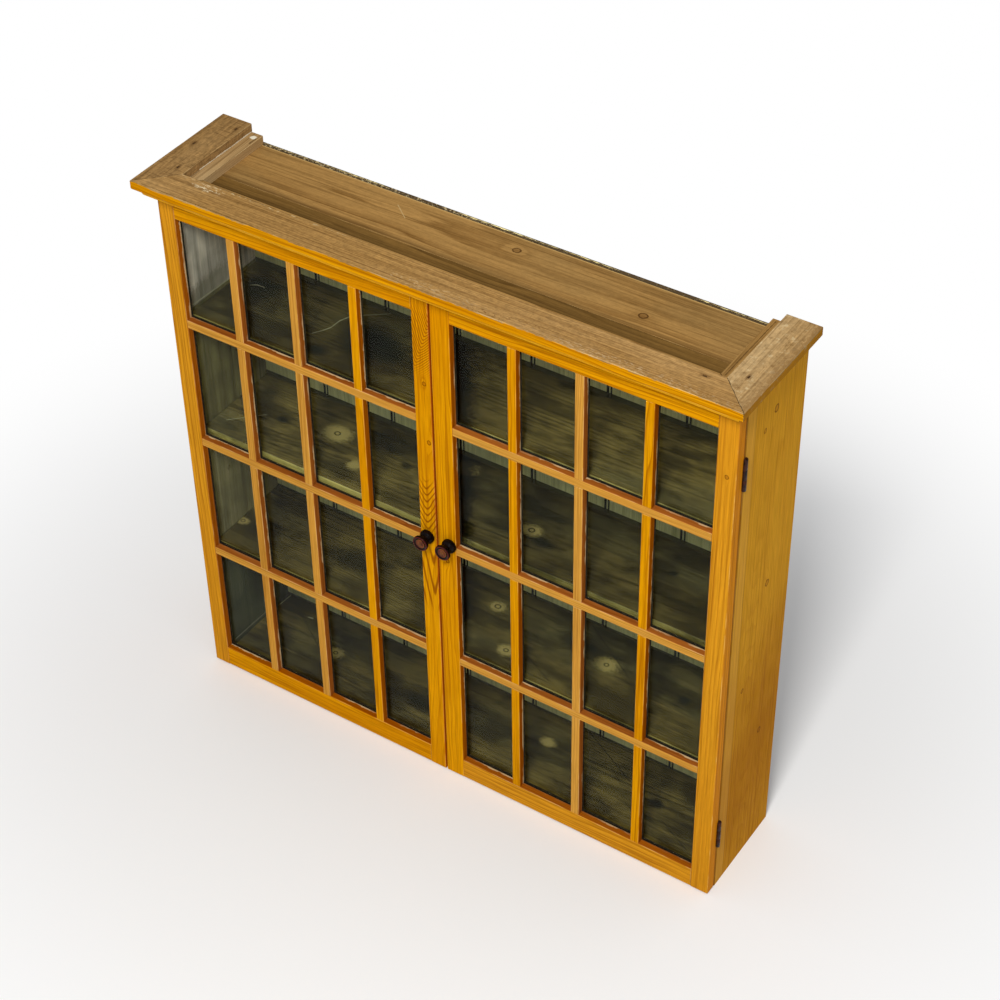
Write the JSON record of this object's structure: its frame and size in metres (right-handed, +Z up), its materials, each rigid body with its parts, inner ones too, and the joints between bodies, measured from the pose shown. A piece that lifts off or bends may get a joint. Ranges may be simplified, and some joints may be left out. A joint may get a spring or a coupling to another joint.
{
  "type": "glazed display cabinet",
  "caption": "Antique pine wall cabinet with a pair of multi-pane glazed doors, turned knobs, a stepped cornice and painted shelves inside.",
  "frame": {"origin": "on the underside of the case, at the middle of the whole outline in plan", "axes": "+Z up; the doors face -Y and the back boards face +Y, towards the wall; +X is to the right of someone who looks at the doors"},
  "size_m": [1.083, 0.2396, 1.056],
  "materials": {
    "pine_varnished": "satin varnish, honey orange",
    "pine_weathered": "bare, aged grey brown",
    "pine_painted": "old thin paint, matt",
    "window_glass": "clear, polished",
    "putty": "dry glazing putty",
    "hinge_iron": "black, worn",
    "knob_wood": "dark polished hardwood",
    "inlay_wood": "brown polished",
    "catch_case": "brown, moulded",
    "strike_steel": "dull zinc plated"
  },
  "bodies": {
    "case": {"back_board_1": "pine_painted", "back_board_2": "pine_painted", "back_board_3": "pine_painted", "back_board_4": "pine_painted", "back_board_5": "pine_painted", "back_board_6": "pine_painted", "back_board_7": "pine_painted", "back_board_8": "pine_painted", "batten_front": "pine_weathered", "batten_left": "pine_weathered", "batten_right": "pine_weathered", "bottom_board": "pine_painted", "cap_front": "pine_weathered", "cap_left": "pine_weathered", "cap_right": "pine_weathered", "catch_left": "catch_case", "catch_right": "catch_case", "hinge_case_leaves_left": "hinge_iron", "hinge_case_leaves_right": "hinge_iron", "shelf_lower": "pine_painted", "shelf_middle": "pine_painted", "shelf_upper": "pine_painted", "side_left": "pine_varnished", "side_right": "pine_varnished", "top_board_back": "pine_weathered", "top_board_front": "pine_weathered"},
    "left_door": {"bar_lower_left": "pine_varnished", "bar_middle_left": "pine_varnished", "bar_upper_left": "pine_varnished", "bottom_rail_left": "pine_varnished", "glass_tall_left": "window_glass", "glass_top_left": "window_glass", "hinge_door_leaves_left": "hinge_iron", "hinge_stile_left": "pine_varnished", "knob_inlay_left": "inlay_wood", "knob_left": "knob_wood", "meeting_stile_left": "pine_varnished", "putty_left": "putty", "strike_plate_left": "strike_steel", "top_rail_left": "pine_varnished", "upright_bars_left": "pine_varnished"},
    "right_door": {"bar_lower_right": "pine_varnished", "bar_middle_right": "pine_varnished", "bar_upper_right": "pine_varnished", "bottom_rail_right": "pine_varnished", "glass_tall_right": "window_glass", "glass_top_right": "window_glass", "hinge_door_leaves_right": "hinge_iron", "hinge_stile_right": "pine_varnished", "knob_inlay_right": "inlay_wood", "knob_right": "knob_wood", "meeting_stile_right": "pine_varnished", "putty_right": "putty", "strike_plate_right": "strike_steel", "top_rail_right": "pine_varnished", "upright_bars_right": "pine_varnished"}
  },
  "joints": [
    {"name": "left_door_hinges", "type": "hinge", "parent": "case", "child": "left_door", "pos_m": [-0.5215, -0.0635, 0.512], "axis": [0, 0, -1], "range_deg": [0, 180]},
    {"name": "right_door_hinges", "type": "hinge", "parent": "case", "child": "right_door", "pos_m": [0.5215, -0.0635, 0.512], "axis": [0, 0, 1], "range_deg": [0, 180]}
  ]
}
